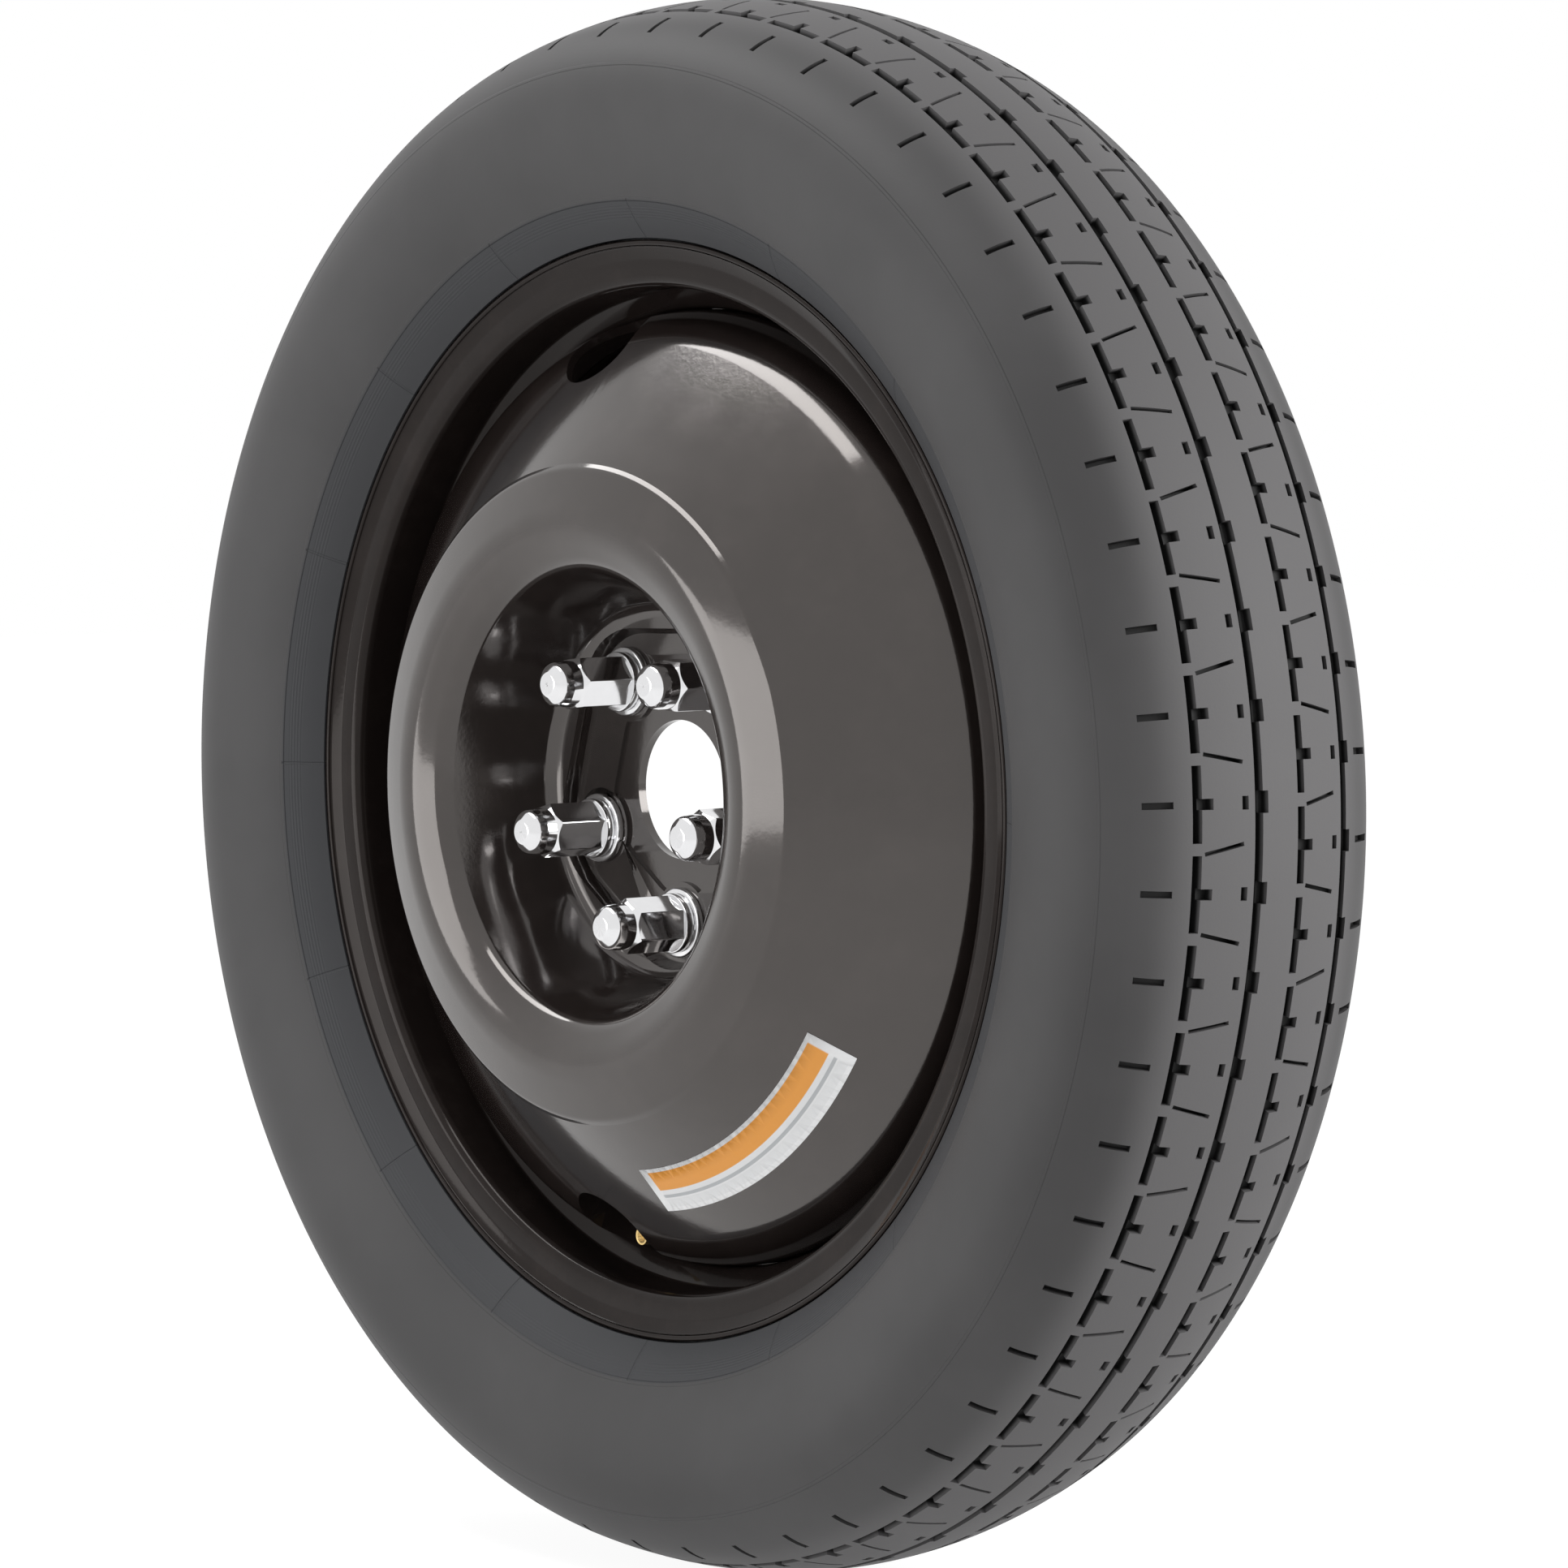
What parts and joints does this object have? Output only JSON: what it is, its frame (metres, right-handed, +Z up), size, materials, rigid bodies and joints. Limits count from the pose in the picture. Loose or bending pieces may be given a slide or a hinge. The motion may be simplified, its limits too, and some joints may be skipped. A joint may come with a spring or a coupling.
{
  "type": "temporary spare wheel",
  "caption": "Narrow temporary spare tyre on a deep pressed steel wheel, with closed-end wheel nuts, washers, a snap-in valve with a sprung core and a plain curved label.",
  "frame": {"origin": "centre of the hub bore in the plane where the wheel meets the hub", "axes": "+Y along the wheel axis towards the vehicle, -Y out of the wheel's outer face, +Z up"},
  "size_m": [0.679, 0.1761, 0.679],
  "materials": {
    "tyre_rubber": "matte moulded rubber",
    "black_paint": "gloss black paint",
    "nut_chrome": "bright plated",
    "valve_rubber": "matte rubber",
    "valve_brass": "machined brass",
    "spring_steel": "drawn steel wire",
    "label_film": "printed film with plain fields"
  },
  "bodies": {
    "wheel": {"tyre": "tyre_rubber", "rim": "black_paint", "wheel_disc": "black_paint", "rim_welds": "black_paint", "lug_nuts": "nut_chrome", "lug_washers": "nut_chrome", "valve_body": "valve_rubber", "valve_stem": "valve_brass", "valve_core_barrel": "valve_brass", "valve_core_gasket": "valve_rubber", "valve_core_spring": "spring_steel", "label": "label_film"},
    "valve_pin": {"valve_core_pin": "valve_brass"}
  },
  "joints": [
    {"name": "valve_pin_press", "type": "slide", "parent": "wheel", "child": "valve_pin", "axis": [0, 1, 0], "range_m": [0, 0.0015], "stiffness_N_per_m": 600, "deforming": ["valve_core_spring"]}
  ]
}
